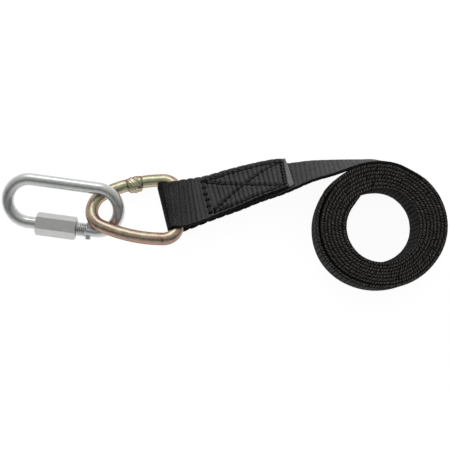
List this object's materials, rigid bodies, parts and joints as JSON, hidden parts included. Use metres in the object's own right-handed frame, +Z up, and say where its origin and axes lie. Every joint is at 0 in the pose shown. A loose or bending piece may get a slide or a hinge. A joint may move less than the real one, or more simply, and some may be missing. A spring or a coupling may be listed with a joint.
{
  "type": "webbing tether",
  "caption": "Webbing tether with a sewn eye, a welded pear ring and a screw quick link; the free end is rolled in a flat coil on its edge.",
  "frame": {"origin": "on the table the tether lies on, under the middle of the whole object", "axes": "+X runs from the quick link to the coil, +Y from the coil's side to the side of the strap's low edge, +Z up off the table"},
  "size_m": [0.2164, 0.0658, 0.025],
  "materials": {
    "link_steel": "bright zinc plate",
    "nut_steel": "satin zinc plate",
    "ring_steel": "yellow passivated zinc plate",
    "webbing": "ribbed woven webbing",
    "thread": "bonded sewing thread"
  },
  "bodies": {
    "coil": {"strap_coil": "webbing", "strap_lead": "webbing"},
    "eye": {"strap_eye": "webbing", "needle_thread": "thread", "bobbin_thread": "thread"},
    "ring": {"pear_ring": "ring_steel"},
    "link": {"quick_link_body": "link_steel"},
    "nut": {"quick_link_nut": "nut_steel"}
  },
  "joints": [
    {"name": "strap_bend", "type": "hinge", "parent": "coil", "child": "eye", "pos_m": [0.04059, 0.02425, 0.01076], "axis": [0.0148, -0.5662, 0.8241], "range_deg": [-50, 50]},
    {"name": "ring_swing", "type": "hinge", "parent": "eye", "child": "ring", "pos_m": [-0.02107, 0.00647, 0.00894], "axis": [-0.0228, 0.9358, -0.3518], "range_deg": [-120, 120]},
    {"name": "link_swing", "type": "hinge", "parent": "ring", "child": "link", "pos_m": [-0.05001, 0.00818, 0.00928], "axis": [-0.073, 0.2721, 0.9595], "range_deg": [-45, 45]},
    {"name": "nut_travel", "type": "slide", "parent": "link", "child": "nut", "axis": [0.9907, -0.1357, -0.0052], "range_m": [0, 0.005]}
  ]
}
